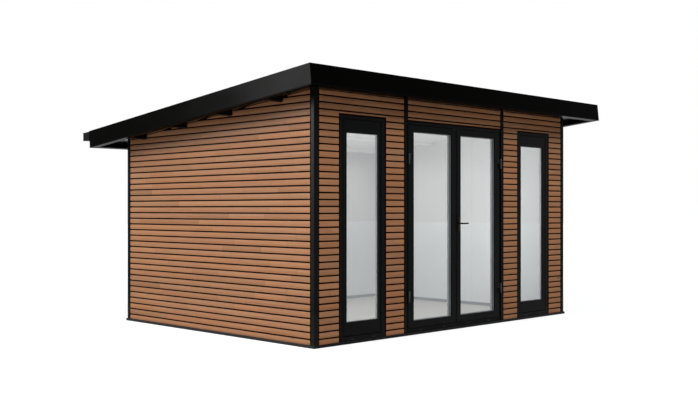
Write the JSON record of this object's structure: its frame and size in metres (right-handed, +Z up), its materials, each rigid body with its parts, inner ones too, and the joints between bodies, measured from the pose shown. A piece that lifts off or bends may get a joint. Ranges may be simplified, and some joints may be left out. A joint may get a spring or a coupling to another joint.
{
  "type": "garden shed",
  "caption": "Flat-roofed garden room with slatted timber walls, a glazed double door, two tall side windows, deep black fascias and a rear gutter.",
  "frame": {"origin": "middle of the footprint (between the corner posts' faces), at ground level", "axes": "+X along the front to the right, +Y from the front to the back, +Z up"},
  "size_m": [4.612, 3.7586, 2.458],
  "materials": {
    "timber": "oiled slats",
    "wall_panel": "matt white lining",
    "glass": "clear double glazing",
    "black_trim": "satin black",
    "black_timber": "black stain",
    "floor": "pale matt boards",
    "skirting": "grey paint",
    "soffit": "matt pale grey",
    "roof_covering": "matt black membrane",
    "fascia": "satin black",
    "gutter": "satin dark grey",
    "handle": "satin black",
    "hinge": "satin dark grey",
    "frame": "fine-textured anthracite"
  },
  "bodies": {
    "building": {"base_frame": "black_trim", "floor_deck": "floor", "skirting": "skirting", "left_wall": "wall_panel", "right_wall": "wall_panel", "back_wall": "wall_panel", "front_left_outer_pier": "wall_panel", "front_left_inner_pier": "wall_panel", "front_right_inner_pier": "wall_panel", "front_right_outer_pier": "wall_panel", "front_headers": "wall_panel", "left_cladding": "timber", "right_cladding": "timber", "back_cladding": "timber", "front_cladding": "timber", "corner_posts": "black_trim", "door_mullions": "black_trim", "door_head": "frame", "door_left_jamb": "frame", "door_right_jamb": "frame", "door_threshold": "frame", "left_window_frame": "frame", "left_window_sash": "frame", "left_window_glass": "glass", "right_window_frame": "frame", "right_window_sash": "frame", "right_window_glass": "glass", "jamb_hinges": "hinge", "purlins": "black_timber", "roof_deck": "soffit", "roof_membrane": "roof_covering", "front_fascia": "fascia", "rear_fascia": "fascia", "left_fascia": "fascia", "right_fascia": "fascia", "gutter": "gutter", "gutter_brackets": "gutter"},
    "left_door": {"left_leaf_frame": "frame", "left_leaf_glass": "glass", "left_leaf_hinges": "hinge"},
    "right_door": {"right_leaf_frame": "frame", "right_leaf_glass": "glass", "right_leaf_hinges": "hinge", "handle_plates": "handle"},
    "door_handle": {"outer_lever": "handle", "inner_lever": "handle"}
  },
  "joints": [
    {"name": "left_door_hinge", "type": "hinge", "parent": "building", "child": "left_door", "pos_m": [-0.749, -1.5265, 0], "axis": [0, 0, -1], "range_deg": [0, 100]},
    {"name": "right_door_hinge", "type": "hinge", "parent": "building", "child": "right_door", "pos_m": [0.749, -1.5265, 0], "axis": [0, 0, 1], "range_deg": [0, 100]},
    {"name": "handle_turn", "type": "hinge", "parent": "right_door", "child": "door_handle", "pos_m": [0.0435, -1.51, 1.082], "axis": [0, 1, 0], "range_deg": [0, 40], "stiffness_Nm_per_rad": 1.5, "springref_deg": -22.92}
  ]
}
